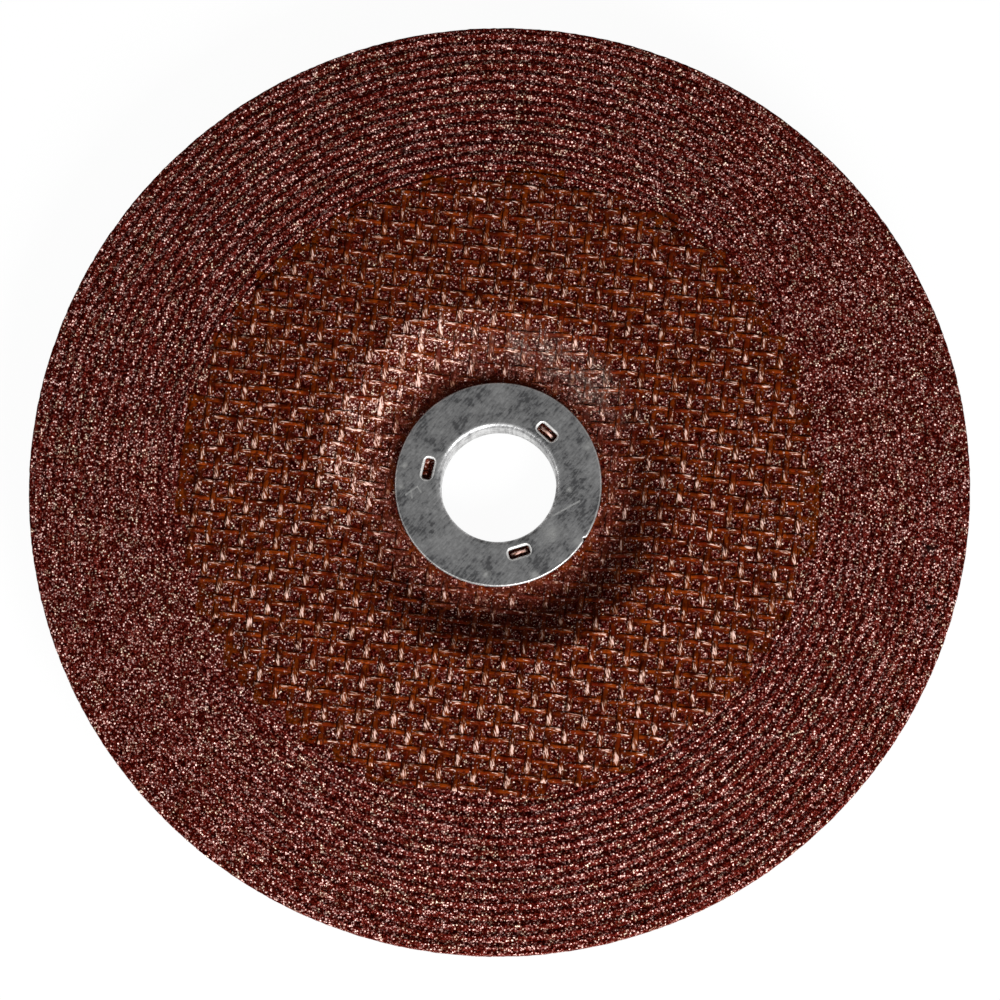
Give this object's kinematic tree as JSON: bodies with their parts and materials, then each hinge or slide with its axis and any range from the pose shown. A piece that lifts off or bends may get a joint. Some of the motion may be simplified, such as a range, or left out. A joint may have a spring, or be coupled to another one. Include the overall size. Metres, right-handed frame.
{
  "type": "grinding disc",
  "caption": "Dished resin-bonded grinding disc with concentric ridges, a woven glass-fibre net round its set-back hub and a pressed steel arbor ring.",
  "frame": {"origin": "on the bore's axis, in the plane of the hub's raised back, which is what the disc lies on", "axes": "+Z along the bore, out of the grinding face; +X to the right and +Y away in the picture's view"},
  "size_m": [0.18, 0.18, 0.0102],
  "materials": {
    "abrasive": "coarse grit in dark red-brown resin",
    "net": "woven glass yarn soaked in amber resin",
    "steel": "dull zinc-coated sheet with stains"
  },
  "bodies": {
    "root": {"abrasive_body": "abrasive", "front_net": "net", "arbor_ring": "steel"}
  },
  "joints": []
}
